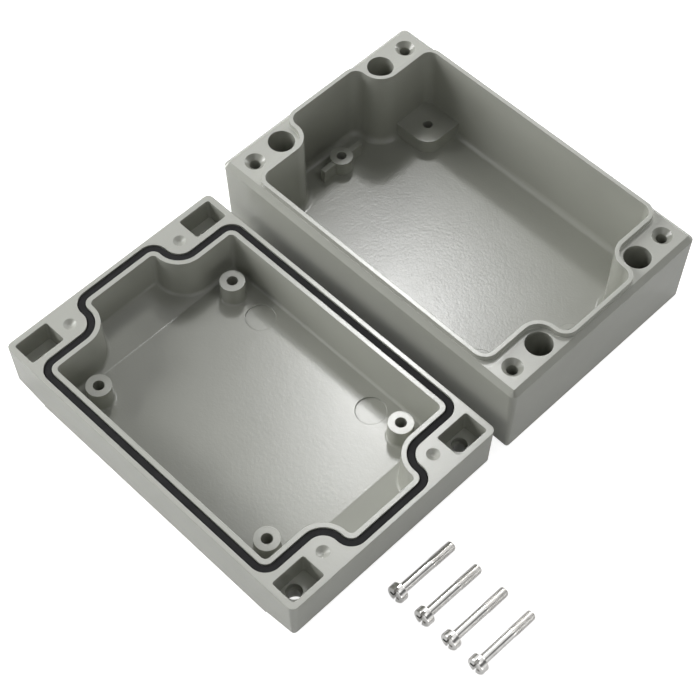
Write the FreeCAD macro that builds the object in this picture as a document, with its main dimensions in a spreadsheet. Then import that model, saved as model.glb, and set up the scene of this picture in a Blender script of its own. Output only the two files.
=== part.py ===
"""Die cast aluminium box, opened up: the base, the lid lying on its back with its gasket, and four screws.

X runs along the box, Y across it and Z up. The origin is the middle of the base's underside.
Both castings and the gasket follow one seal line, a plus-shaped outline that runs inside the lid
screws and wraps round the four fixing holes.
"""
import FreeCAD, Part
import os
import Sketcher

SIZES = (
    ("box_length", 150.0, "outer length of both castings at the joint"),
    ("box_width", 100.0, "outer width of both castings at the joint"),
    ("corner_radius", 2.5, "upright outer corners at the joint"),
    ("seal_edge", 3.25, "from the outer face in to the seal line"),
    ("seal_corner_radius", 5.0, "corners of the seal line"),
    ("seal_wrap_radius", 7.75, "seal line's curve round a fixing hole"),
    ("fixing_inset_x", 9.0, "from the box's end to a fixing hole"),
    ("fixing_inset_y", 23.0, "from the box's side to a fixing hole"),
    ("screw_inset_x", 9.0, "from the box's end to a lid screw"),
    ("screw_inset_y", 9.0, "from the box's side to a lid screw"),
    ("base_height", 37.0, "ground to joint face"),
    ("base_draft", 2.0, "degrees, outer walls"),
    ("base_floor", 3.2, "floor thickness"),
    ("base_cavity_draft", 1.1, "degrees, inner walls"),
    ("floor_radius", 2.5, "inner walls to floor"),
    ("joint_bevel", 2.1, "bevel round the base's joint face"),
    ("foot_radius", 0.8, "round the base's underside"),
    ("tongue_width", 1.65, "rim that presses on the gasket"),
    ("tongue_height", 2.4, "rim above the joint face"),
    ("fixing_channel", 10.5, "diameter for the fixing bolt's head"),
    ("fixing_bore", 6.5, "diameter for the fixing bolt's shank"),
    ("fixing_shoulder", 6.0, "metal under the fixing bolt's head"),
    ("screw_hole", 4.2, "diameter of the threaded hole in the base"),
    ("screw_hole_depth", 14.0, "depth of the threaded hole in the base"),
    ("countersink", 8.0, "diameter over the threaded hole's mouth"),
    ("inner_seat_height", 6.8, "pads and posts above the base's floor"),
    ("inner_hole", 4.0, "diameter of the holes in pads and posts"),
    ("inner_hole_depth", 6.5, "depth of the holes in pads and posts"),
    ("pad_reach", 19.05, "from the seal line to the pad's free edges"),
    ("pad_radius", 6.5, "the pad's free corner"),
    ("pad_hole_inset", 10.55, "from the seal line to the pad's hole"),
    ("post_inset", 11.05, "from the end of the seal line to the post"),
    ("post_diameter", 9.3, "end post"),
    ("rib_length", 21.0, "rib through the end post"),
    ("rib_width", 2.25, "rib through the end post"),
    ("rib_drop", 0.5, "top of the rib below the post's top"),
    ("lid_height", 24.4, "ground to joint face, lid on its back"),
    ("lid_draft", 2.5, "degrees, outer walls"),
    ("lid_gap", 7.8, "between the base and the lid lying beside it"),
    ("panel_inset", 15.5, "from the lid's end to its raised panel"),
    ("panel_step", 1.0, "raised panel above the sloped ends"),
    ("end_slope", 12.5, "degrees, sloped ends inside and out"),
    ("lid_floor", 4.5, "thickness of the lid's flat part"),
    ("lid_slope_inset", 23.0, "from the lid's end to its sloped inner floor"),
    ("lid_cavity_draft", 2.0, "degrees, inner walls"),
    ("lid_cavity_corner", 2.0, "upright inner corners at the joint"),
    ("lid_floor_radius", 1.2, "inner walls to floor"),
    ("lid_crease_radius", 3.0, "level inner floor to sloped inner floor"),
    ("lid_edge_radius", 0.6, "round the lid's outer face"),
    ("groove_width", 3.1, "gasket groove"),
    ("groove_depth", 5.0, "gasket groove"),
    ("groove_wall", 1.9, "metal between groove and cavity"),
    ("pocket_length", 10.4, "lid pocket, along the box"),
    ("pocket_width", 14.8, "lid pocket, across the box"),
    ("pocket_depth", 10.2, "lid pocket"),
    ("pocket_radius", 1.0, "corners of the lid pocket"),
    ("pocket_shift_x", 1.5, "pocket's centre outward of the screw"),
    ("pocket_shift_y", 0.85, "pocket's centre inward of the screw"),
    ("recess_diameter", 6.0, "round recess in the pocket's floor"),
    ("recess_depth", 2.6, "round recess in the pocket's floor"),
    ("screw_clearance", 4.3, "diameter of the lid's screw hole"),
    ("head_recess", 8.5, "diameter for the screw's head"),
    ("head_seat", 8.0, "screw head's seat above the lid's panel"),
    ("dimple_diameter", 5.0, "drill mark over each fixing hole"),
    ("dimple_depth", 1.3, "drill mark over each fixing hole"),
    ("boss_inset_x", 30.5, "from the box's end to a lid boss"),
    ("boss_inset_y", 16.7, "from the box's side to a lid boss"),
    ("boss_diameter", 9.8, "lid boss"),
    ("boss_height", 9.0, "lid boss above the floor"),
    ("boss_foot_radius", 0.8, "lid boss to floor"),
    ("boss_hole", 4.3, "diameter of the hole in a lid boss"),
    ("boss_hole_depth", 7.0, "depth of the hole in a lid boss"),
    ("mark_inset", 45.6, "from the box's end to an ejector mark"),
    ("mark_diameter", 11.8, "ejector mark"),
    ("mark_depth", 0.4, "ejector mark"),
    ("gasket_width", 3.0, "rubber cord in the groove"),
    ("gasket_height", 4.5, "rubber cord in the groove"),
    ("gasket_round", 0.6, "rounded top edges of the cord"),
    ("head_diameter", 7.2, "screw head"),
    ("head_height", 3.2, "screw head"),
    ("head_round", 0.7, "screw head's rim"),
    ("shank_diameter", 3.7, "plain part of the screw"),
    ("thread_diameter", 4.0, "threaded part of the screw"),
    ("screw_length", 26.0, "under the head"),
    ("thread_length", 11.0, "threaded part of the screw"),
    ("tip_bevel", 0.5, "screw's tip"),
    ("slot_width", 1.1, "screw head's slots"),
    ("slot_depth", 1.6, "screw head's long slot"),
    ("cross_length", 4.2, "screw head's short slot"),
    ("cross_depth", 1.2, "screw head's short slot"),
    ("row_pitch", 12.57, "loose screws, axis to axis"),
    ("row_start", 12.8, "from the base's end to the first loose screw"),
    ("row_offset", 42.8, "from the base's side to the loose screws' tips"),
)
HALF_LENGTH, HALF_WIDTH = "box_length / 2", "box_width / 2"
FIXING = ("box_length / 2 - fixing_inset_x", "box_width / 2 - fixing_inset_y")
SCREW = ("box_length / 2 - screw_inset_x", "box_width / 2 - screw_inset_y")
BOSS = ("box_length / 2 - boss_inset_x", "box_width / 2 - boss_inset_y")
NOTCH_X, NOTCH_Y = f"{FIXING[0]} - seal_wrap_radius", f"{FIXING[1]} - seal_wrap_radius"
SEAL_END, SEAL_SIDE = "box_length / 2 - seal_edge", "box_width / 2 - seal_edge"
POST_X = f"{SEAL_END} - post_inset"
SCREW_COUNT = 4
OVERLAP = 1.0
SIGNS = (-1, 1)
CORNER_SIGNS = ((-1, -1), (1, -1), (1, 1), (-1, 1))
TOUCH = 1e-4

doc = FreeCAD.newDocument("die_cast_box")
sheet = doc.addObject("Spreadsheet::Sheet", "sizes")
for row, (alias, value, meaning) in enumerate(SIZES, start=1):
    sheet.set(f"A{row}", alias)
    sheet.set(f"B{row}", str(value))
    sheet.set(f"C{row}", meaning)
    sheet.setAlias(f"B{row}", alias)
doc.recompute()


def size(expression):
    """The number that an expression on the sheet comes to."""
    result = sheet.evalExpression(expression)
    return float(getattr(result, "Value", result))


def cell(text):
    """An expression in which each word that names a size points at its cell."""
    names = {alias for alias, _, _ in SIZES}
    words = text.replace("(", "( ").replace(")", " )").split()
    return " ".join(f"sizes.{word}" if word in names else word for word in words)


def bind(thing, **settings):
    """Tie properties of a feature to the sheet; two underscores in a name stand for a dot."""
    for key, text in settings.items():
        thing.setExpression(key.replace("__", "."), cell(text))


def new_body(name):
    body = doc.addObject("PartDesign::Body", name)
    body.Label = name
    return body


def new_sketch(body, name, plane="XY_Plane", height=None):
    """An empty sketch on one of the body's own planes, lifted by an expression."""
    sketch = body.newObject("Sketcher::SketchObject", name)
    support = next(item for item in body.Origin.OriginFeatures if item.Role == plane)
    sketch.AttachmentSupport = [(support, "")]
    sketch.MapMode = "FlatFace"
    if height:
        bind(sketch, AttachmentOffset__Base__z=height)
    return sketch


def add_constraint(sketch, kind, *targets, text=None):
    """A constraint, tied to the sheet where it has an expression."""
    if text is None:
        return sketch.addConstraint(Sketcher.Constraint(kind, *targets))
    index = sketch.addConstraint(Sketcher.Constraint(kind, *targets, size(cell(text))))
    sketch.setExpression(f"Constraints[{index}]", cell(text))
    return index


def hold(sketch, kind, element, point, sign, text):
    """Hold a point at a distance from the sketch's origin, on the side that sign gives."""
    if sign > 0:
        add_constraint(sketch, kind, -1, 1, element, point, text=text)
    else:
        add_constraint(sketch, kind, element, point, -1, 1, text=text)


def draw_circle(sketch, x_sign, x_text, y_sign, y_text, diameter):
    """A circle whose centre is held from the origin; an empty text keeps it on that axis."""
    x = x_sign * size(cell(x_text)) if x_text else 0.0
    y = y_sign * size(cell(y_text)) if y_text else 0.0
    radius = size(cell(f"{diameter} / 2"))
    circle = Part.Circle(FreeCAD.Vector(x, y, 0), FreeCAD.Vector(0, 0, 1), radius)
    index = sketch.addGeometry(circle, False)
    add_constraint(sketch, "Diameter", index, text=diameter)
    for kind, sign, text in (("DistanceX", x_sign, x_text), ("DistanceY", y_sign, y_text)):
        if text:
            hold(sketch, kind, index, 3, sign, text)
        else:
            add_constraint(sketch, kind, -1, 1, index, 3, text="0")


def draw_outline(sketch, corners):
    """A closed outline of level and upright lines with a tangent arc at each corner.

    A corner is (x sign, x size, y sign, y size, radius), and the corners run anticlockwise.
    """
    spots = [FreeCAD.Vector(sx * size(cell(x)), sy * size(cell(y)), 0) for sx, x, sy, y, _ in corners]
    radii = [size(cell(corner[4])) for corner in corners]
    count = len(corners)
    steps = [(spots[(i + 1) % count] - spots[i]).normalize() for i in range(count)]
    starts = [spots[i] + steps[i] * radii[i] for i in range(count)]
    ends = [spots[i] - steps[i - 1] * radii[i] for i in range(count)]
    lines = []
    for i in range(count):
        line = Part.LineSegment(starts[i], ends[(i + 1) % count])
        lines.append(sketch.addGeometry(line, False))
    for i in range(count):
        before, after = steps[i - 1], steps[i]
        turns_left = before.x * after.y - before.y * after.x > 0
        centre = ends[i] + after * radii[i]
        first, last = (ends[i], starts[i]) if turns_left else (starts[i], ends[i])
        middle = centre + (spots[i] - centre).normalize() * radii[i]
        arc = sketch.addGeometry(Part.Arc(first, middle, last), False)
        into, out_of = (1, 2) if turns_left else (2, 1)
        add_constraint(sketch, "Tangent", lines[i - 1], 2, arc, into)
        add_constraint(sketch, "Tangent", arc, out_of, lines[i], 1)
        add_constraint(sketch, "Radius", arc, text=corners[i][4])
    for i in range(count):
        sx, x, sy, y, _ = corners[i]
        level = abs(steps[i].y) < TOUCH
        add_constraint(sketch, "Horizontal" if level else "Vertical", lines[i])
        if level:
            hold(sketch, "DistanceY", lines[i], 1, sy, y)
        else:
            hold(sketch, "DistanceX", lines[i], 1, sx, x)


def draw_rectangle(sketch, half_x, half_y, radius):
    draw_outline(sketch, [(sx, half_x, sy, half_y, radius) for sx, sy in CORNER_SIGNS])


def draw_seal_line(sketch, inset="0", corner=None):
    """The plus-shaped seal line, moved in towards the box's middle by an inset.

    The corners keep the seal line's own centres unless they get a radius of their own.
    """
    end = f"{SEAL_END} - ({inset})"
    side = f"{SEAL_SIDE} - ({inset})"
    notch_x = f"{NOTCH_X} - ({inset})"
    notch_y = f"{NOTCH_Y} - ({inset})"
    outer = corner or f"seal_corner_radius - ({inset})"
    wrap = f"seal_wrap_radius + ({inset})"
    draw_outline(sketch, [
        (1, end, -1, notch_y, outer), (1, end, 1, notch_y, outer), (1, notch_x, 1, notch_y, wrap),
        (1, notch_x, 1, side, outer), (-1, notch_x, 1, side, outer), (-1, notch_x, 1, notch_y, wrap),
        (-1, end, 1, notch_y, outer), (-1, end, -1, notch_y, outer), (-1, notch_x, -1, notch_y, wrap),
        (-1, notch_x, -1, side, outer), (1, notch_x, -1, side, outer), (1, notch_x, -1, notch_y, wrap),
    ])


def draw_polygon(sketch, corners):
    """A closed outline of straight lines; a corner is (x sign, x size, y sign, y size)."""
    spots = [FreeCAD.Vector(sx * size(cell(x)), sy * size(cell(y)), 0) for sx, x, sy, y in corners]
    count = len(corners)
    lines = [sketch.addGeometry(Part.LineSegment(spots[i], spots[(i + 1) % count]), False)
             for i in range(count)]
    for i, (sx, x, sy, y) in enumerate(corners):
        add_constraint(sketch, "Coincident", lines[i - 1], 2, lines[i], 1)
        hold(sketch, "DistanceX", lines[i], 1, sx, x)
        hold(sketch, "DistanceY", lines[i], 1, sy, y)


def extrude(body, kind, name, sketch, length, up, taper=None, both_ways=False):
    """A pad or pocket from a sketch, upward or downward, with a check that it changed the body."""
    before = body.Tip.Shape.Volume if body.Tip else 0.0
    feature = body.newObject(f"PartDesign::{kind}", name)
    feature.Profile = (sketch, [""])
    bind(feature, Length=length)
    feature.Reversed = (not up) if kind == "Pad" else up
    if taper:
        bind(feature, TaperAngle=taper)
    if both_ways:
        feature.SideType = "Symmetric"
    doc.recompute()
    if (feature.Shape.Volume > before) != (kind == "Pad"):
        raise ValueError(f"{name} does not change the body as it should")


def pad(body, name, sketch, length, up=True, **options):
    extrude(body, "Pad", name, sketch, length, up, **options)


def pocket(body, name, sketch, length, up=False, **options):
    extrude(body, "Pocket", name, sketch, length, up, **options)


def dress(body, kind, name, wanted, **settings):
    """A fillet or chamfer on each edge of the body's tip that a test picks."""
    tip = body.Tip
    edges = [f"Edge{i}" for i, edge in enumerate(tip.Shape.Edges, start=1) if wanted(edge)]
    if not edges:
        raise ValueError(f"{name} finds no edge")
    feature = body.newObject(f"PartDesign::{kind}", name)
    feature.Base = (tip, edges)
    bind(feature, **settings)
    doc.recompute()
    if "Invalid" in feature.State:
        raise ValueError(f"{name} could not be made")


def level_at(edge, height):
    """True for an edge that lies level at a height."""
    box = edge.BoundBox
    return abs(box.ZMin - height) < TOUCH and abs(box.ZMax - height) < TOUCH


def ring_at(edge, height, diameter):
    """True for a full circle of a diameter that lies level at a height."""
    return (level_at(edge, height) and isinstance(edge.Curve, Part.Circle) and edge.isClosed()
            and abs(edge.Curve.Radius - diameter / 2) < TOUCH)


def four_circles(sketch, place, diameter):
    """Four equal circles, one in each quarter, at a place given by its distances from the middle."""
    for sx, sy in CORNER_SIGNS:
        draw_circle(sketch, sx, place[0], sy, place[1], diameter)


def make_base():
    """The deep casting, which stands on the ground."""
    body = new_body("base_casting")
    joint = "base_height"
    rim = "base_height + tongue_height"
    floor = "base_floor"

    outline = new_sketch(body, "base_outline", height=joint)
    draw_rectangle(outline, HALF_LENGTH, HALF_WIDTH, "corner_radius")
    pad(body, "base_block", outline, "base_height", up=False, taper="0 - base_draft")
    joint_z = size(cell(joint))
    dress(body, "Chamfer", "base_joint_bevel", lambda edge: level_at(edge, joint_z), Size="joint_bevel")
    dress(body, "Fillet", "base_foot", lambda edge: level_at(edge, 0.0), Radius="foot_radius")

    tongue = new_sketch(body, "tongue_outline", height=joint)
    draw_seal_line(tongue, "0 - tongue_width / 2")
    pad(body, "tongue", tongue, "tongue_height")
    cavity = new_sketch(body, "base_cavity_outline", height=rim)
    draw_seal_line(cavity, "tongue_width / 2")
    pocket(body, "base_cavity", cavity, f"{rim} - base_floor", taper="0 - base_cavity_draft")
    floor_z = size(cell(floor))
    dress(body, "Fillet", "base_floor_round", lambda edge: level_at(edge, floor_z), Radius="floor_radius")

    add_corner_pads(body)
    add_end_posts(body)
    add_inner_holes(body)
    cut_fixing_holes(body)
    cut_screw_holes(body)
    return body


def add_corner_pads(body):
    """Two pads in opposite corners of the base's cavity, each grown out of its two walls."""
    pads = new_sketch(body, "pad_outlines", height="base_floor")
    free_x, free_y = f"{NOTCH_X} - pad_reach", f"{SEAL_SIDE} - pad_reach"
    buried = "tongue_width / 2"
    for sx, sy in ((-1, 1), (1, -1)):
        draw_outline(pads, [(sx, NOTCH_X, sy, SEAL_SIDE, buried), (sx, NOTCH_X, sy, free_y, buried),
                            (sx, free_x, sy, free_y, "pad_radius"), (sx, free_x, sy, SEAL_SIDE, buried)])
    pad(body, "corner_pads", pads, "inner_seat_height")


def add_end_posts(body):
    """A round post near each end of the base, with a rib through it across the box."""
    ribs = new_sketch(body, "rib_outlines", height="base_floor")
    posts = new_sketch(body, "post_outlines", height="base_floor")
    for sign in SIGNS:
        draw_circle(posts, sign, POST_X, 1, "", "post_diameter")
        far, near = f"{POST_X} + rib_width / 2", f"{POST_X} - rib_width / 2"
        left, right = (near, far) if sign > 0 else (far, near)
        draw_polygon(ribs, [(sign, left, -1, "rib_length / 2"), (sign, right, -1, "rib_length / 2"),
                            (sign, right, 1, "rib_length / 2"), (sign, left, 1, "rib_length / 2")])
    pad(body, "end_ribs", ribs, "inner_seat_height - rib_drop")
    pad(body, "end_posts", posts, "inner_seat_height")


def add_inner_holes(body):
    """Blind holes in the corner pads and end posts, for a plate or a rail."""
    holes = new_sketch(body, "inner_hole_circles", height="base_floor + inner_seat_height")
    hole_x, hole_y = f"{NOTCH_X} - pad_hole_inset", f"{SEAL_SIDE} - pad_hole_inset"
    for sign in SIGNS:
        draw_circle(holes, sign, POST_X, 1, "", "inner_hole")
        draw_circle(holes, sign, hole_x, -sign, hole_y, "inner_hole")
    pocket(body, "inner_holes", holes, "inner_hole_depth")


def cut_fixing_holes(body):
    """Channels down to a shoulder, and bores through it, that fix the box to a wall."""
    channels = new_sketch(body, "fixing_channel_circles", height="base_height")
    four_circles(channels, FIXING, "fixing_channel")
    pocket(body, "fixing_channels", channels, "base_height - fixing_shoulder")
    bores = new_sketch(body, "fixing_bore_circles")
    four_circles(bores, FIXING, "fixing_bore")
    pocket(body, "fixing_bores", bores, "fixing_shoulder", up=True)


def cut_screw_holes(body):
    """Threaded holes for the lid screws, each with a countersunk mouth."""
    holes = new_sketch(body, "screw_hole_circles", height="base_height")
    four_circles(holes, SCREW, "screw_hole")
    pocket(body, "screw_holes", holes, "screw_hole_depth")
    joint_z, across = size(cell("base_height")), size(cell("screw_hole"))
    dress(body, "Chamfer", "screw_hole_mouths", lambda edge: ring_at(edge, joint_z, across),
          Size="(countersink - screw_hole) / 2")


def make_lid():
    """The shallow casting, which lies on its back with the joint face up."""
    body = new_body("lid_casting")
    joint = "lid_height"
    outline = new_sketch(body, "lid_outline", height=joint)
    draw_rectangle(outline, HALF_LENGTH, HALF_WIDTH, "corner_radius")
    pad(body, "lid_block", outline, "lid_height", up=False, taper="0 - lid_draft")
    slope_lid_ends(body)

    cavity = new_sketch(body, "lid_cavity_outline", height=joint)
    draw_seal_line(cavity, "groove_width / 2 + groove_wall", corner="lid_cavity_corner")
    pocket(body, "lid_cavity", cavity, "lid_height - lid_floor", taper="0 - lid_cavity_draft")
    slope_lid_floor(body)

    groove = new_sketch(body, "groove_outlines", height=joint)
    draw_seal_line(groove, "0 - groove_width / 2")
    draw_seal_line(groove, "groove_width / 2")
    pocket(body, "gasket_groove", groove, "groove_depth")

    add_lid_bosses(body)
    cut_lid_pockets(body)
    cut_drill_dimples(body)
    cut_ejector_marks(body)
    bind(body, Placement__Base__y="0 - box_width - lid_gap")
    return body


def slope_lid_ends(body):
    """Each end of the lid's outer face steps in from the raised panel and slopes away."""
    ends = new_sketch(body, "lid_end_slopes", plane="XZ_Plane")
    near = f"{HALF_LENGTH} - panel_inset"
    far = f"{HALF_LENGTH} + {OVERLAP}"
    rise = f"panel_step + (panel_inset + {OVERLAP}) * tan(end_slope)"
    for sign in SIGNS:
        draw_polygon(ends, [(sign, near, -1, f"{OVERLAP}"), (sign, far, -1, f"{OVERLAP}"),
                            (sign, far, 1, rise), (sign, near, 1, "panel_step")])
    pocket(body, "lid_ends", ends, f"box_width + {OVERLAP}", both_ways=True)
    half_length, half_width = size(cell(HALF_LENGTH)), size(cell(HALF_WIDTH))
    border = size(cell("lid_height * tan(lid_draft) + corner_radius"))
    top = size(cell(rise))

    def on_outer_face(edge):
        """True for an edge round the outer face, where it meets the sides and ends."""
        box = edge.BoundBox
        beside = min(abs(box.YMin), abs(box.YMax)) > half_width - border and box.YLength < border
        across = min(abs(box.XMin), abs(box.XMax)) > half_length - border and box.XLength < border
        return box.ZMax < top and (beside or across)

    dress(body, "Fillet", "lid_edge", on_outer_face, Radius="lid_edge_radius")


def slope_lid_floor(body):
    """The inner floor rises towards each end, parallel to the slope outside."""
    wedges = new_sketch(body, "lid_floor_slopes", plane="XZ_Plane")
    near = f"{HALF_LENGTH} - lid_slope_inset"
    rise = "lid_floor + (lid_slope_inset - seal_edge) * tan(end_slope)"
    under = "panel_step + panel_inset * tan(end_slope)"
    for sign in SIGNS:
        draw_polygon(wedges, [(sign, near, 1, f"lid_floor - {OVERLAP}"), (sign, SEAL_END, 1, under),
                              (sign, SEAL_END, 1, rise), (sign, near, 1, "lid_floor")])
    pad(body, "lid_floor_ends", wedges, f"2 * ({SEAL_SIDE})", both_ways=True)
    crease, low, high = size(cell(near)), size(cell("lid_floor")), size(cell(rise))
    end, side = size(cell(SEAL_END)), size(cell(SEAL_SIDE))
    crease_reach = size(cell("lid_crease_radius * tan(end_slope)"))

    def on_crease(edge):
        """True for the line where the level floor turns up, and for the bounds of its round."""
        box = edge.BoundBox
        return box.XLength < TOUCH and abs(abs(box.XMin) - crease) < crease_reach and box.ZMin > low - TOUCH

    def where_floor_meets_wall(edge):
        """True for an edge between the inner floor, level or sloped, and an inner wall."""
        box = edge.BoundBox
        within = max(abs(box.XMin), abs(box.XMax)) < end and max(abs(box.YMin), abs(box.YMax)) < side
        return within and low - TOUCH < box.ZMin and box.ZMax < high and not on_crease(edge)

    dress(body, "Fillet", "lid_crease", on_crease, Radius="lid_crease_radius")
    dress(body, "Fillet", "lid_floor_round", where_floor_meets_wall, Radius="lid_floor_radius")


def add_lid_bosses(body):
    """Four round bosses on the lid's inner floor, each with a blind hole."""
    rounds = new_sketch(body, "boss_outlines", height=f"lid_floor - {OVERLAP}")
    four_circles(rounds, BOSS, "boss_diameter")
    pad(body, "lid_bosses", rounds, f"boss_height + {OVERLAP}")
    low, across = size(cell("lid_floor")), size(cell("boss_diameter"))
    dress(body, "Fillet", "boss_feet", lambda edge: ring_at(edge, low, across), Radius="boss_foot_radius")
    holes = new_sketch(body, "boss_hole_circles", height="lid_floor + boss_height")
    four_circles(holes, BOSS, "boss_hole")
    pocket(body, "boss_holes", holes, "boss_hole_depth")


def cut_lid_pockets(body):
    """A pocket in each corner of the joint face, and the stepped screw hole under it."""
    pockets = new_sketch(body, "pocket_outlines", height="lid_height")
    centre_x, centre_y = f"{SCREW[0]} + pocket_shift_x", f"{SCREW[1]} - pocket_shift_y"
    out_x, in_x = f"{centre_x} + pocket_length / 2", f"{centre_x} - pocket_length / 2"
    out_y, in_y = f"{centre_y} + pocket_width / 2", f"{centre_y} - pocket_width / 2"
    for sx, sy in CORNER_SIGNS:
        left, right = (in_x, out_x) if sx > 0 else (out_x, in_x)
        low, high = (in_y, out_y) if sy > 0 else (out_y, in_y)
        draw_outline(pockets, [(sx, left, sy, low, "pocket_radius"), (sx, right, sy, low, "pocket_radius"),
                               (sx, right, sy, high, "pocket_radius"), (sx, left, sy, high, "pocket_radius")])
    pocket(body, "lid_pockets", pockets, "pocket_depth")
    recesses = new_sketch(body, "recess_circles", height="lid_height - pocket_depth")
    four_circles(recesses, SCREW, "recess_diameter")
    pocket(body, "pocket_recesses", recesses, "recess_depth")
    holes = new_sketch(body, "clearance_circles", height="lid_height - pocket_depth")
    four_circles(holes, SCREW, "screw_clearance")
    pocket(body, "screw_clearances", holes, "lid_height - pocket_depth")
    seats = new_sketch(body, "head_recess_circles")
    four_circles(seats, SCREW, "head_recess")
    pocket(body, "head_recesses", seats, "head_seat", up=True)


def cut_drill_dimples(body):
    """A shallow cone in the joint face over each fixing hole of the base."""
    for number, (sx, sy) in enumerate(CORNER_SIGNS, start=1):
        dimple = body.newObject("PartDesign::SubtractiveCone", f"drill_dimple_{number}")
        support = next(item for item in body.Origin.OriginFeatures if item.Role == "XY_Plane")
        dimple.AttachmentSupport = [(support, "")]
        dimple.MapMode = "FlatFace"
        dimple.Radius1 = 0.0
        bind(dimple, Radius2="dimple_diameter / 2", Height="dimple_depth",
             AttachmentOffset__Base__x=f"{sx} * ({FIXING[0]})",
             AttachmentOffset__Base__y=f"{sy} * ({FIXING[1]})",
             AttachmentOffset__Base__z="lid_height - dimple_depth")
        doc.recompute()


def cut_ejector_marks(body):
    """Two shallow round marks in the inner floor, in line with the far pair of bosses."""
    marks = new_sketch(body, "ejector_mark_circles", height="lid_floor")
    for sign in SIGNS:
        draw_circle(marks, sign, f"{HALF_LENGTH} - mark_inset", 1, BOSS[1], "mark_diameter")
    pocket(body, "ejector_marks", marks, "mark_depth")


def make_gasket():
    """The endless rubber cord that lies in the lid's groove."""
    body = new_body("gasket")
    outlines = new_sketch(body, "cord_outlines")
    draw_seal_line(outlines, "0 - gasket_width / 2")
    draw_seal_line(outlines, "gasket_width / 2")
    pad(body, "cord", outlines, "gasket_height")
    top = size(cell("gasket_height"))
    dress(body, "Fillet", "cord_top", lambda edge: level_at(edge, top), Radius="gasket_round")
    bind(body, Placement__Base__y="0 - box_width - lid_gap", Placement__Base__z="lid_height - groove_depth")
    return body


def make_screw(number):
    """A slotted screw that lies on its head's rim and its thread's tip, pointing at the base."""
    body = new_body(f"lid_screw_{number}")
    profile = new_sketch(body, f"screw_profile_{number}", plane="XZ_Plane")
    neck, tip = "head_height + screw_length - thread_length", "head_height + screw_length"
    draw_polygon(profile, [
        (1, "0", 1, "0"), (1, "head_diameter / 2", 1, "0"),
        (1, "head_diameter / 2", 1, "head_height"), (1, "shank_diameter / 2", 1, "head_height"),
        (1, "shank_diameter / 2", 1, neck), (1, "thread_diameter / 2", 1, neck),
        (1, "thread_diameter / 2", 1, f"{tip} - tip_bevel"),
        (1, "thread_diameter / 2 - tip_bevel", 1, tip), (1, "0", 1, tip)])
    turned = body.newObject("PartDesign::Revolution", f"screw_turned_{number}")
    turned.Profile = (profile, [""])
    turned.ReferenceAxis = (profile, ["V_Axis"])
    turned.Angle = 360.0
    doc.recompute()
    across = size(cell("head_diameter"))
    dress(body, "Fillet", f"head_rim_{number}", lambda edge: ring_at(edge, 0.0, across), Radius="head_round")

    long_slot = new_sketch(body, f"long_slot_outline_{number}")
    corners = [(sx, "slot_width / 2", sy, f"head_diameter / 2 + {OVERLAP}") for sx, sy in CORNER_SIGNS]
    draw_polygon(long_slot, corners)
    pocket(body, f"long_slot_{number}", long_slot, "slot_depth", up=True)
    short_slot = new_sketch(body, f"short_slot_outline_{number}")
    corners = [(sx, "cross_length / 2", sy, "slot_width / 2") for sx, sy in CORNER_SIGNS]
    draw_polygon(short_slot, corners)
    pocket(body, f"short_slot_{number}", short_slot, "cross_depth", up=True)

    lean = "atan((head_diameter - thread_diameter) / 2 / (screw_length - tip_bevel))"
    body.Placement = FreeCAD.Placement(FreeCAD.Vector(), FreeCAD.Rotation(FreeCAD.Vector(-1, 0, 0), 90))
    bind(body, Placement__Rotation__Angle=f"90 + {lean} / 1deg",
         Placement__Base__x=f"{HALF_LENGTH} + row_start + {number - 1} * row_pitch",
         Placement__Base__y=f"0 - {HALF_WIDTH} - row_offset - ({tip}) * cos({lean})",
         Placement__Base__z=f"head_diameter / 2 * cos({lean}) + head_height * sin({lean})")
    return body


pieces = [make_base(), make_lid(), make_gasket()]
pieces += [make_screw(number) for number in range(1, SCREW_COUNT + 1)]
doc.recompute()

for item in doc.Objects:
    if "Invalid" in item.State or "Error" in item.State:
        raise RuntimeError(f"{item.Name} did not build: {item.State}")
os.makedirs("parts", exist_ok=True)
for piece in pieces:
    if piece.Shape.isNull() or not piece.Shape.isValid() or len(piece.Shape.Solids) != 1:
        raise RuntimeError(f"{piece.Label} is not one valid solid")
for piece in pieces:
    piece.Shape.exportStep(os.path.join("parts", f"{piece.Label}.step"))
    box = piece.Shape.optimalBoundingBox(False)
    extent = f"x {box.XMin:.2f} to {box.XMax:.2f}, y {box.YMin:.2f} to {box.YMax:.2f}"
    print(f"{piece.Label}: {piece.Shape.Volume / 1000:.2f} cm3, {extent}, z {box.ZMin:.2f} to {box.ZMax:.2f}")
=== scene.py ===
"""Looks of a die cast box, opened up, with its lid, its gasket and its four lid screws.

The deep base stands open and the lid lies on its back beside it. The two castings and the gasket are
the frame's own pieces and get their finishes here. The lid screws are made again with their real
thread. A studio with a white floor, soft lamps and the camera stands round them. Lengths are in
metres, X along the box, Y across it and Z up, with the origin under the middle of the base.
"""
from __future__ import annotations

import logging
import math
from dataclasses import dataclass
from enum import Enum
from typing import Any

import bmesh
import bpy
from mathutils import Matrix, Vector


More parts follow.
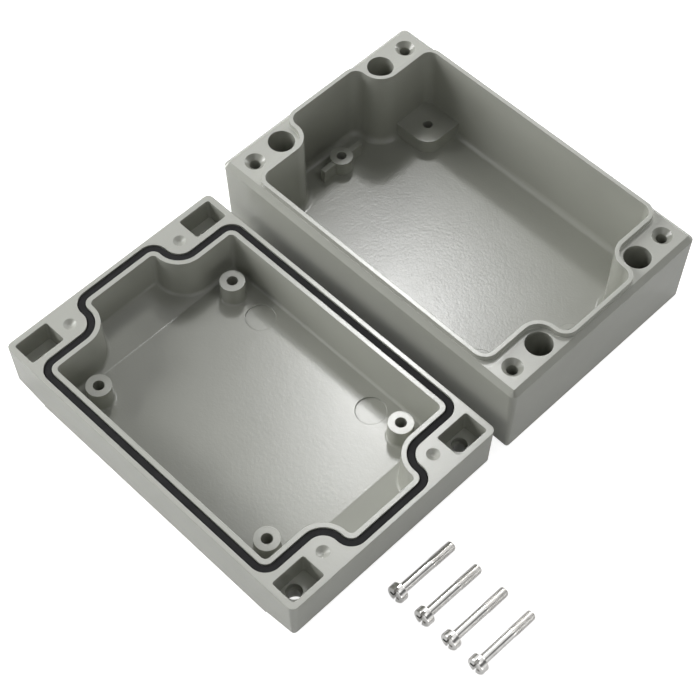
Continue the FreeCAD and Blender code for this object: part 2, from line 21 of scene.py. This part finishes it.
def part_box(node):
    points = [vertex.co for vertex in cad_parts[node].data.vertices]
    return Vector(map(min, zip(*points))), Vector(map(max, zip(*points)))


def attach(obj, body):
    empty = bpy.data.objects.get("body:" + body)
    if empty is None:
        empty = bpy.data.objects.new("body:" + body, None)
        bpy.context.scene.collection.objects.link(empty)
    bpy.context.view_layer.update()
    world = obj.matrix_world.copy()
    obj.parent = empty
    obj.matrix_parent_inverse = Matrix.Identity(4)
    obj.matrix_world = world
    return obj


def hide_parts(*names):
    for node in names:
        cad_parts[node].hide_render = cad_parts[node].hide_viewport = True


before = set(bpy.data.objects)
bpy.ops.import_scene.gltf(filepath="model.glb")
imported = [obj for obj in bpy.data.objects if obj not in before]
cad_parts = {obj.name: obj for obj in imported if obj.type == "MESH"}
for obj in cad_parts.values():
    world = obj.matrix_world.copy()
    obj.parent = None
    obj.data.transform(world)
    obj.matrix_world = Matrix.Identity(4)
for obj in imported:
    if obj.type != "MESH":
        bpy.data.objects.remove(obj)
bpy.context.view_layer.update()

MM = 0.001
WHITE = (1.0, 1.0, 1.0, 1.0)
BODY = "root"
NOISE_MIDDLE = 0.5
log = logging.getLogger("die_cast_box")


@dataclass(frozen=True)
class Wire:
    """A node's output socket; arithmetic on one that carries a number adds Math nodes."""

    shader: "Shader"
    socket: bpy.types.NodeSocket

    def _math(self, operation: str, first: "Wire | float", second: "Wire | float") -> "Wire":
        """One Math node.

        Args:
            operation: what the node does with its two values.
            first: its first value.
            second: its second value.

        Returns:
            The node's result.
        """
        return self.shader.add("ShaderNodeMath", {"operation": operation}, {0: first, 1: second})

    def __add__(self, other: "Wire | float") -> "Wire":
        """This number plus another."""
        return self._math("ADD", self, other)

    def __radd__(self, other: float) -> "Wire":
        """A plain number plus this one."""
        return self._math("ADD", other, self)

    def __sub__(self, other: "Wire | float") -> "Wire":
        """This number less another."""
        return self._math("SUBTRACT", self, other)

    def __rsub__(self, other: float) -> "Wire":
        """A plain number less this one."""
        return self._math("SUBTRACT", other, self)

    def __mul__(self, other: "Wire | float") -> "Wire":
        """This number times another."""
        return self._math("MULTIPLY", self, other)

    def __rmul__(self, other: float) -> "Wire":
        """A plain number times this one."""
        return self._math("MULTIPLY", other, self)

    def above(self, limit: float, softness: float) -> "Wire":
        """A mask that rises from 0 to 1 round a limit.

        Args:
            limit: the number at which the mask is one half.
            softness: how far the rise reaches to each side.

        Returns:
            The mask.
        """
        settings = {"interpolation_type": "SMOOTHSTEP"}
        spread = {"Value": self, "From Min": limit - softness, "From Max": limit + softness}
        return self.shader.add("ShaderNodeMapRange", settings, spread, "Result")


class Shader:
    """The nodes of one material or of the world."""

    def __init__(self, tree: bpy.types.NodeTree) -> None:
        """Start on an emptied tree.

        Args:
            tree: the node tree to fill.
        """
        self.tree = tree
        tree.nodes.clear()

    def add(self, kind: str, settings: dict[str, Any] | None = None,
            inputs: dict[str | int, Any] | None = None, output: str | int = 0) -> Wire | None:
        """Add one node.

        Args:
            kind: the node's type.
            settings: the node's own settings, set first.
            inputs: a number, colour or wire for each socket named.
            output: the socket that the result is read from.

        Returns:
            The wire from that socket, or nothing for a node that ends the shader.
        """
        node = self.tree.nodes.new(kind)
        for name, value in (settings or {}).items():
            setattr(node, name, value)
        for name, value in (inputs or {}).items():
            if isinstance(value, Wire):
                self.tree.links.new(value.socket, node.inputs[name])
            else:
                node.inputs[name].default_value = value
        return Wire(self, node.outputs[output]) if node.outputs else None

    def noise(self, where: Wire, size: float, detail: float = 2.0, sharpness: float = 0.5) -> Wire:
        """Cloudy noise between 0 and 1.

        Args:
            where: the point it is read at.
            size: the size of one cloud, in metres.
            detail: how many finer layers it has.
            sharpness: how strong the finer layers are.

        Returns:
            The noise.
        """
        inputs = {"Vector": where, "Scale": 1.0 / size, "Detail": detail, "Roughness": sharpness}
        return self.add("ShaderNodeTexNoise", {"noise_dimensions": "3D"}, inputs)

    def tint(self, low: "Wire | tuple[float, ...]", high: "Wire | tuple[float, ...]",
             mask: Wire) -> Wire:
        """A colour between two.

        Args:
            low: the colour where the mask is 0.
            high: the colour where the mask is 1.
            mask: how far to go from the first to the second, from 0 to 1.

        Returns:
            The mixed colour.
        """
        settings = {"data_type": "RGBA", "clamp_factor": True}
        return self.add("ShaderNodeMix", settings, {0: mask, 6: low, 7: high}, 2)

    def bump(self, height: Wire, depth: float, normal: Wire | None = None) -> Wire:
        """A normal that follows a height.

        Args:
            height: the height, from 0 to 1.
            depth: the height's real size, in metres.
            normal: the normal that it starts from, if not the surface's own.

        Returns:
            The bumped normal.
        """
        inputs = {"Height": height, "Distance": depth, "Strength": 1.0}
        if normal:
            inputs["Normal"] = normal
        return self.add("ShaderNodeBump", None, inputs)

    def surface(self, **inputs: Any) -> None:
        """End the material with one principled surface.

        Args:
            inputs: its sockets' values, with underscores for the spaces in their names.
        """
        named = {name.replace("_", " "): value for name, value in inputs.items()}
        shader = self.add("ShaderNodeBsdfPrincipled", None, named)
        self.add("ShaderNodeOutputMaterial", None, {"Surface": shader})


def new_shader(name: str) -> tuple[bpy.types.Material, Shader]:
    """A new material and its shader.

    Args:
        name: the material's name.

    Returns:
        The material and the shader to fill.
    """
    material = bpy.data.materials.new(name)
    material.use_nodes = True
    return material, Shader(material.node_tree)


@dataclass(frozen=True)
class CastFinish:
    """Warm grey satin coat on a casting, pebbled on its inner floors, with painted light on the joint
    faces: level faces up high are painted paler for the extra light they catch.
    """

    name: str
    colour: tuple[float, ...] = (0.390, 0.396, 0.353, 1.0)
    pale: tuple[float, ...] = (0.410, 0.417, 0.373, 1.0)
    # painted light: a paler colour for the level joint faces, standing in for the extra light they catch,
    # from this height up
    joint_painted_light: tuple[float, ...] = (0.557, 0.565, 0.517, 1.0)
    joint_painted_light_above: float = 12.5 * MM
    joint_painted_light_softness: float = 0.5 * MM
    level_above: float = 0.9
    level_softness: float = 0.08
    roughness: float = 0.205
    roughness_spread: float = 0.05
    edge_radius: float = 0.35 * MM
    edge_samples: int = 6
    grain_size: float = 1.1 * MM
    grain_depth: float = 0.030 * MM
    grain_sharpness: float = 0.6
    grain_dullness: float = 0.06
    skin_size: float = 2.6 * MM
    skin_depth: float = 0.014 * MM
    cloud_size: float = 22 * MM
    cloud_softness: float = 0.3
    floor_grain: float = 1.0
    wall_grain: float = 0.35

    def material(self) -> bpy.types.Material:
        """Build the coat.

        Returns:
            The finished material.
        """
        material, shader = new_shader(self.name)
        where = shader.add("ShaderNodeTexCoord", None, None, "Object")
        facing = shader.add("ShaderNodeNewGeometry", None, None, "Normal")
        up = shader.add("ShaderNodeSeparateXYZ", None, {0: facing}, "Z")
        level = up.above(self.level_above, self.level_softness)
        height = shader.add("ShaderNodeSeparateXYZ", None, {0: where}, "Z")
        # painted light: mask of the faces above the joint height, which are painted paler
        painted_light_height = height.above(self.joint_painted_light_above, self.joint_painted_light_softness)
        cloud = shader.noise(where, self.cloud_size, detail=3.0)
        grain = shader.noise(where, self.grain_size, sharpness=self.grain_sharpness)
        skin = shader.noise(where, self.skin_size, detail=3.0)
        rounded = shader.add("ShaderNodeBevel", {"samples": self.edge_samples},
                             {"Radius": self.edge_radius})
        soft = shader.bump(skin, self.skin_depth, rounded)
        strength = level * (self.floor_grain - self.wall_grain) + self.wall_grain
        normal = shader.bump(grain * strength, self.grain_depth, soft)
        coat = shader.tint(self.colour, self.pale, cloud.above(NOISE_MIDDLE, self.cloud_softness))
        clouded = self.roughness + (cloud - NOISE_MIDDLE) * self.roughness_spread
        shader.surface(
            # painted highlight: level faces above the joint height get the paler colour for the light they
            # catch
            Base_Color=shader.tint(coat, self.joint_painted_light, level * painted_light_height),
            Roughness=clouded + (grain - NOISE_MIDDLE) * self.grain_dullness,
            Normal=normal,
        )
        return material


@dataclass(frozen=True)
class RubberFinish:
    """Black rubber with a soft shine."""

    colour: tuple[float, ...] = (0.010, 0.010, 0.011, 1.0)
    dusty: tuple[float, ...] = (0.022, 0.022, 0.023, 1.0)
    roughness: float = 0.62
    roughness_spread: float = 0.2
    shine: float = 0.18
    dust_above: float = 0.55
    dust_softness: float = 0.2
    cloud_size: float = 6 * MM
    grain_size: float = 0.35 * MM
    grain_depth: float = 0.008 * MM

    def material(self) -> bpy.types.Material:
        """Build the rubber.

        Returns:
            The finished material.
        """
        material, shader = new_shader("black_rubber")
        where = shader.add("ShaderNodeTexCoord", None, None, "Object")
        cloud = shader.noise(where, self.cloud_size, detail=3.0)
        grain = shader.noise(where, self.grain_size)
        dust = cloud.above(self.dust_above, self.dust_softness)
        shader.surface(
            Base_Color=shader.tint(self.colour, self.dusty, dust),
            Roughness=self.roughness + (cloud - NOISE_MIDDLE) * self.roughness_spread,
            Specular_IOR_Level=self.shine,
            Normal=shader.bump(grain, self.grain_depth),
        )
        return material


@dataclass(frozen=True)
class SteelFinish:
    """Bright turned steel with fine marks round the axis."""

    colour: tuple[float, ...] = (0.80, 0.79, 0.77, 1.0)
    shaded: tuple[float, ...] = (0.66, 0.65, 0.63, 1.0)
    roughness: float = 0.20
    roughness_spread: float = 0.12
    mark_size: float = 0.16 * MM
    mark_depth: float = 0.0015 * MM
    mark_sharpness: float = 0.7
    bright_above: float = 0.42
    bright_softness: float = 0.2
    cloud_size: float = 2.5 * MM

    def material(self) -> bpy.types.Material:
        """Build the steel; the screws lie along Y.

        Returns:
            The finished material.
        """
        material, shader = new_shader("turned_steel")
        where = shader.add("ShaderNodeTexCoord", None, None, "Object")
        along = shader.add("ShaderNodeSeparateXYZ", None, {0: where}, "Y")
        ring = shader.add("ShaderNodeCombineXYZ", None, {"Y": along})
        marks = shader.noise(ring, self.mark_size, detail=3.0, sharpness=self.mark_sharpness)
        cloud = shader.noise(where, self.cloud_size)
        bright = cloud.above(self.bright_above, self.bright_softness)
        shader.surface(
            Base_Color=shader.tint(self.shaded, self.colour, bright),
            Metallic=1.0,
            Roughness=self.roughness + (marks - NOISE_MIDDLE) * self.roughness_spread,
            Normal=shader.bump(marks, self.mark_depth),
        )
        return material


@dataclass
class Castings:
    """The deep base and the shallow lid, as the frame has them."""

    base_finish: CastFinish = CastFinish("base_coat", grain_size=0.85 * MM)
    lid_finish: CastFinish = CastFinish("lid_coat", floor_grain=0.8)

    def dress(self) -> None:
        """Give both castings the same coat, with a rougher floor in the base."""
        for node, finish in (("base_casting", self.base_finish), ("lid_casting", self.lid_finish)):
            dress_node(node, finish.material())


@dataclass
class Gasket:
    """The endless rubber cord in the lid's groove."""

    node: str = "gasket"
    finish: RubberFinish = RubberFinish()

    def dress(self) -> None:
        """Give the cord its rubber."""
        dress_node(self.node, self.finish.material())


def dress_node(node: str, material: bpy.types.Material) -> None:
    """Put one material on the whole of a frame piece.

    Args:
        node: the piece's name.
        material: what it is made of.
    """
    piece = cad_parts[node]
    for slot in piece.material_slots:
        slot.material = material
    if not piece.material_slots:
        piece.data.materials.append(material)
    log.info("%s dressed in %s", node, material.name)


class ThreadPoint(Enum):
    """Places across one turn of the thread: share of the pitch, and share of the thread's depth."""

    ROOT_START = (0.00, 0.0)
    ROOT_END = (0.14, 0.0)
    RISE = (0.30, 0.55)
    CREST_START = (0.44, 1.0)
    CREST_END = (0.56, 1.0)
    FALL = (0.70, 0.55)
    FOOT = (0.86, 0.0)


@dataclass
class LidScrews:
    """Four slotted screws that lie on their heads' rims and their threads' tips."""

    count: int = 4
    head_height: float = 3.2 * MM
    head_round: float = 0.7 * MM
    shank_diameter: float = 3.7 * MM
    thread_diameter: float = 4.0 * MM
    thread_core: float = 3.14 * MM
    thread_pitch: float = 0.7 * MM
    thread_length: float = 11.0 * MM
    thread_fade: float = 0.5 * MM
    screw_length: float = 26.0 * MM
    tip_bevel: float = 0.5 * MM
    slot_width: float = 1.1 * MM
    slot_depth: float = 1.6 * MM
    cross_length: float = 4.2 * MM
    cross_depth: float = 1.2 * MM
    edge: float = 0.12 * MM
    neck_round: float = 0.25 * MM
    cutter_margin: float = 1.0 * MM
    sides: int = 64
    round_steps: int = 6
    layers_per_turn: int = 10
    sharp_angle: float = 28.0
    finish: SteelFinish = SteelFinish()

    def build(self) -> None:
        """Make each screw in the place of the frame's plain one."""
        material = self.finish.material()
        for number in range(1, self.count + 1):
            node = f"lid_screw_{number}"
            low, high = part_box(node)
            screw = self._mesh(f"threaded_screw_{number}", (high.x - low.x) / 2)
            screw.data.materials.append(material)
            screw.data.transform(self._place(low, high))
            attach(screw, BODY)
            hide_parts(node)
            log.info("%s stands for %s with %d faces", screw.name, node, len(screw.data.polygons))

    def _place(self, low: Vector, high: Vector) -> Matrix:
        """Where a screw lies: its head's rim and its thread's tip touch the ground.

        Args:
            low: lowest corner of the frame's screw.
            high: highest corner of the frame's screw.

        Returns:
            The matrix that lays the upright screw down.
        """
        head = (high.x - low.x) / 2
        tip = self.thread_diameter / 2
        lean = math.atan((head - tip) / (self.screw_length - self.tip_bevel))
        reach = self.head_height + self.screw_length
        x = (low.x + high.x) / 2
        y = high.y - reach * math.cos(lean) - (tip - self.tip_bevel) * math.sin(lean)
        z = low.z + head * math.cos(lean) + self.head_height * math.sin(lean)
        return Matrix.Translation((x, y, z)) @ Matrix.Rotation(-math.pi / 2 - lean, 4, "X")

    def _mesh(self, name: str, head: float) -> bpy.types.Object:
        """One upright screw, its head's outer face at the origin and its tip up.

        Args:
            name: the piece's name.
            head: the head's radius.

        Returns:
            The screw.
        """
        mesh = bmesh.new()
        self._turn(mesh, head)
        data = bpy.data.meshes.new(name)
        mesh.to_mesh(data)
        mesh.free()
        screw = bpy.data.objects.new(name, data)
        bpy.context.scene.collection.objects.link(screw)
        self._cut_slots(screw, head)
        for polygon in screw.data.polygons:
            polygon.use_smooth = True
        screw.data.set_sharp_from_angle(angle=math.radians(self.sharp_angle))
        return screw

    def _profile(self, head: float) -> list[tuple[float, float]]:
        """The turned outline from the head's outer face to where the thread starts.

        Args:
            head: the head's radius.

        Returns:
            Points as radius and height.
        """
        shank = self.shank_diameter / 2
        turns = [math.pi / 2 * step / self.round_steps for step in range(self.round_steps + 1)]
        top = [(head - self.head_round * (1 - math.sin(turn)),
                self.head_round * (1 - math.cos(turn))) for turn in turns]
        rim = [(head, self.head_height - self.edge), (head - self.edge, self.head_height)]
        neck = [(shank + self.neck_round * (1 - math.sin(turn)),
                 self.head_height + self.neck_round * (1 - math.cos(turn))) for turn in turns]
        return top + rim + neck

    def _turn(self, mesh: bmesh.types.BMesh, head: float) -> None:
        """Turn the head and shank, and wind the thread on to it.

        Args:
            mesh: the mesh to fill.
            head: the head's radius.
        """
        rings = [self._ring(mesh, radius, height) for radius, height in self._profile(head)]
        mesh.faces.new(list(reversed(rings[0])))
        start = self.head_height + self.screw_length - self.thread_length
        end = self.head_height + self.screw_length
        rings.append(self._ring(mesh, self.shank_diameter / 2, start - self.thread_fade))
        for low, high in zip(rings, rings[1:]):
            self._skin(mesh, low, high)
        last = self._wind(mesh, rings[-1], start, end)
        mesh.faces.new(last)
        mesh.normal_update()

    def _wind(self, mesh: bmesh.types.BMesh, ring: list[bmesh.types.BMVert], start: float,
              end: float) -> list[bmesh.types.BMVert]:
        """Wind the thread from a ring of the shank to the screw's flat tip.

        Each ring of the mesh runs level; its radius follows the helix, and fades at both ends.

        Args:
            mesh: the mesh to fill.
            ring: the shank's last ring.
            start: height where the thread begins.
            end: height of the tip.

        Returns:
            The tip's ring.
        """
        layers = round((end - start) / self.thread_pitch * self.layers_per_turn)
        for layer in range(1, layers + 1):
            height = start + (end - start) * layer / layers
            verts = []
            for side in range(self.sides):
                turn = side / self.sides
                radius = self._thread_radius(height, turn, start, end)
                angle = 2 * math.pi * turn
                place = (radius * math.cos(angle), radius * math.sin(angle), height)
                verts.append(mesh.verts.new(place))
            self._skin(mesh, ring, verts)
            ring = verts
        return ring

    def _thread_radius(self, height: float, turn: float, start: float, end: float) -> float:
        """The screw's radius at a height and angle within the thread.

        Args:
            height: height above the head's outer face.
            turn: angle, as a share of a full turn.
            start: height where the thread begins.
            end: height of the tip.

        Returns:
            The radius there.
        """
        share = (height / self.thread_pitch - turn) % 1.0
        points = [point.value for point in ThreadPoint] + [(1.0, 0.0)]
        depth = 0.0
        for (low, low_depth), (high, high_depth) in zip(points, points[1:]):
            if low <= share <= high:
                depth = low_depth + (high_depth - low_depth) * (share - low) / (high - low)
        core, crest = self.thread_core / 2, self.thread_diameter / 2
        radius = core + (crest - core) * depth
        begun = min(1.0, max(0.0, (height - start) / (2 * self.thread_fade)))
        radius = self.shank_diameter / 2 * (1 - begun) + radius * begun
        return min(radius, crest - self.tip_bevel + (end - height))

    def _ring(self, mesh: bmesh.types.BMesh, radius: float,
              height: float) -> list[bmesh.types.BMVert]:
        """A level ring of points.

        Args:
            mesh: the mesh to fill.
            radius: the ring's radius.
            height: the ring's height.

        Returns:
            Its points in order.
        """
        turns = [2 * math.pi * side / self.sides for side in range(self.sides)]
        places = [(radius * math.cos(turn), radius * math.sin(turn), height) for turn in turns]
        return [mesh.verts.new(place) for place in places]

    @staticmethod
    def _skin(mesh: bmesh.types.BMesh, low: list[bmesh.types.BMVert],
              high: list[bmesh.types.BMVert]) -> None:
        """Faces between two rings.

        Args:
            mesh: the mesh to fill.
            low: the ring nearer the head.
            high: the ring nearer the tip.
        """
        count = len(low)
        for side in range(count):
            after = (side + 1) % count
            mesh.faces.new((low[side], low[after], high[after], high[side]))

    def _cut_slots(self, screw: bpy.types.Object, head: float) -> None:
        """Cut the long slot and the short one across it into the head.

        Args:
            screw: the piece to cut.
            head: the head's radius.
        """
        long_slot = (self.slot_width, 2 * (head + self.cutter_margin), self.slot_depth)
        short_slot = (self.cross_length, self.slot_width, self.cross_depth)
        for wide, across, deep in (long_slot, short_slot):
            cutter_mesh = bmesh.new()
            bmesh.ops.create_cube(cutter_mesh, size=1.0)
            bmesh.ops.scale(cutter_mesh, vec=(wide, across, 2 * deep), verts=cutter_mesh.verts)
            data = bpy.data.meshes.new("slot_cutter")
            cutter_mesh.to_mesh(data)
            cutter_mesh.free()
            cutter = bpy.data.objects.new("slot_cutter", data)
            bpy.context.scene.collection.objects.link(cutter)
            cut = screw.modifiers.new("slot", "BOOLEAN")
            cut.operation, cut.solver, cut.object = "DIFFERENCE", "EXACT", cutter
            graph = bpy.context.evaluated_depsgraph_get()
            shaped = bpy.data.meshes.new_from_object(screw.evaluated_get(graph))
            screw.modifiers.clear()
            screw.data = shaped
            bpy.data.objects.remove(cutter)
        screw.data.name = screw.name


@dataclass(frozen=True)
class Lamp:
    """A flat, soft lamp that points at the middle of the part."""

    name: str
    azimuth: float
    elevation: float
    width: float
    height: float
    power: float
    distance: float = 1.5

    def light(self, target: Vector) -> None:
        """Hang the lamp.

        Args:
            target: the point that it faces.
        """
        data = bpy.data.lights.new(self.name, "AREA")
        data.shape = "RECTANGLE"
        data.size, data.size_y = self.width, self.height
        data.energy = self.power
        lamp = bpy.data.objects.new(self.name, data)
        bpy.context.scene.collection.objects.link(lamp)
        turn, rise = math.radians(self.azimuth), math.radians(self.elevation)
        away = Vector((math.cos(turn) * math.cos(rise), math.sin(turn) * math.cos(rise), math.sin(rise)))
        lamp.location = target + away * self.distance
        lamp.rotation_euler = away.to_track_quat("Z", "Y").to_euler()
        log.info("lamp %s hung", self.name)


@dataclass
class Studio:
    """White floor, soft lamps, pale surroundings and the camera."""

    lamps: tuple[Lamp, ...] = (
        Lamp("back_key", 131.0, 55.5, 0.12, 0.14, 3.0),
        Lamp("back_top", 134.0, 62.0, 0.12, 0.12, 1.1),
        Lamp("back_low", 90.0, 12.0, 1.2, 0.5, 10.0),
        Lamp("back_high", 95.0, 35.0, 0.8, 0.5, 2.2),
        Lamp("left_low", 205.0, 14.0, 0.55, 0.5, 11.0),
        Lamp("left_high", 215.0, 32.0, 0.7, 0.5, 9.4),
        Lamp("front_low", 247.5, 12.0, 0.55, 0.5, 1.0),
        Lamp("front_fill", 292.5, 35.0, 0.55, 0.5, 1.5),
        Lamp("right_high", 15.0, 62.0, 0.55, 0.5, 1.6),
        Lamp("right_low", 350.0, 6.0, 0.8, 0.3, 3.4),
    )
    floor_half: float = 6.0
    floor_squares: int = 8
    floor_colour: tuple[float, ...] = (0.80, 0.80, 0.80, 1.0)
    floor_glow: float = 0.85
    floor_in_gloss: float = 0.26
    air_strength: float = 0.03
    ceiling: tuple[float, ...] = (0.14, 0.14, 0.14, 1.0)
    bright_side: float = 150.0
    bright_edge: float = 0.08
    band_top: float = 0.34
    band_softness: float = 0.16
    camera_place: tuple[float, float, float] = (0.28041, -0.33635, 0.58723)
    camera_tilt: float = 33.75
    camera_turn: float = 45.0
    focal_length: float = 96.09
    sensor: float = 36.0
    target: tuple[float, float, float] = (0.0, -0.055, 0.01)

    def build(self) -> None:
        """Set up everything round the part."""
        self._floor()
        self._air()
        for lamp in self.lamps:
            lamp.light(Vector(self.target))
        self._camera()
        bpy.context.scene.view_settings.view_transform = "Standard"

    @staticmethod
    def _seen(shader: Shader, gloss_share: float) -> Wire:
        """A mask for the rays that show the background.

        Args:
            shader: the shader that asks.
            gloss_share: how much of the background shows in glossy surfaces.

        Returns:
            1 for what the camera sees, straight or through glass, and the given share in gloss.
        """
        camera = shader.add("ShaderNodeLightPath", None, None, "Is Camera Ray")
        glossy = shader.add("ShaderNodeLightPath", None, None, "Is Glossy Ray")
        through = shader.add("ShaderNodeLightPath", None, None, "Is Transmission Ray")
        return camera + glossy * gloss_share + through

    def _floor(self) -> None:
        """A wide white floor that keeps the part's shadow."""
        mesh = bmesh.new()
        bmesh.ops.create_grid(mesh, x_segments=self.floor_squares, y_segments=self.floor_squares,
                              size=self.floor_half)
        data = bpy.data.meshes.new("floor")
        mesh.to_mesh(data)
        mesh.free()
        floor = bpy.data.objects.new("floor", data)
        bpy.context.scene.collection.objects.link(floor)
        material, shader = new_shader("white_floor")
        matt = shader.add("ShaderNodeBsdfDiffuse", None, {"Color": self.floor_colour})
        glow = shader.add("ShaderNodeEmission", None, {"Color": WHITE, "Strength": self.floor_glow})
        both = shader.add("ShaderNodeAddShader", None, {0: matt, 1: glow})
        seen = self._seen(shader, self.floor_in_gloss)
        mixed = shader.add("ShaderNodeMixShader", None, {0: seen, 1: matt, 2: both})
        shader.add("ShaderNodeOutputMaterial", None, {"Surface": mixed})
        floor.data.materials.append(material)

    def _air(self) -> None:
        """White surroundings with a dim ceiling over the right; they light the part and show behind it."""
        world = bpy.data.worlds.new("studio_air")
        world.use_nodes = True
        bpy.context.scene.world = world
        shader = Shader(world.node_tree)
        way = shader.add("ShaderNodeTexCoord", None, None, "Generated")
        right, back, rise = (shader.add("ShaderNodeSeparateXYZ", None, {0: way}, axis)
                             for axis in "XYZ")
        turn = math.radians(self.bright_side)
        beyond = right * -math.cos(turn) - back * math.sin(turn)
        dimmed = (rise.above(self.band_top, self.band_softness)
                  * beyond.above(self.bright_edge, self.band_softness))
        sky = shader.tint(WHITE, self.ceiling, dimmed)
        dim = shader.add("ShaderNodeBackground", None, {"Color": sky, "Strength": self.air_strength})
        white = shader.add("ShaderNodeBackground", None, {"Color": sky, "Strength": 1.0})
        mixed = shader.add("ShaderNodeMixShader", None, {0: self._seen(shader, 1.0), 1: dim, 2: white})
        shader.add("ShaderNodeOutputWorld", None, {"Surface": mixed})

    def _camera(self) -> None:
        """The camera, at the photograph's own place, angle and focal length."""
        data = bpy.data.cameras.new("camera")
        data.lens, data.sensor_width = self.focal_length, self.sensor
        camera = bpy.data.objects.new("camera", data)
        bpy.context.scene.collection.objects.link(camera)
        camera.location = self.camera_place
        camera.rotation_euler = (math.radians(self.camera_tilt), 0.0, math.radians(self.camera_turn))
        bpy.context.scene.camera = camera
        log.info("camera set")


def main() -> None:
    """Build the studio and dress every piece."""
    logging.basicConfig(level=logging.INFO, format="%(message)s")
    Studio().build()
    Castings().dress()
    Gasket().dress()
    LidScrews().build()


if __name__ == "__main__":
    main()
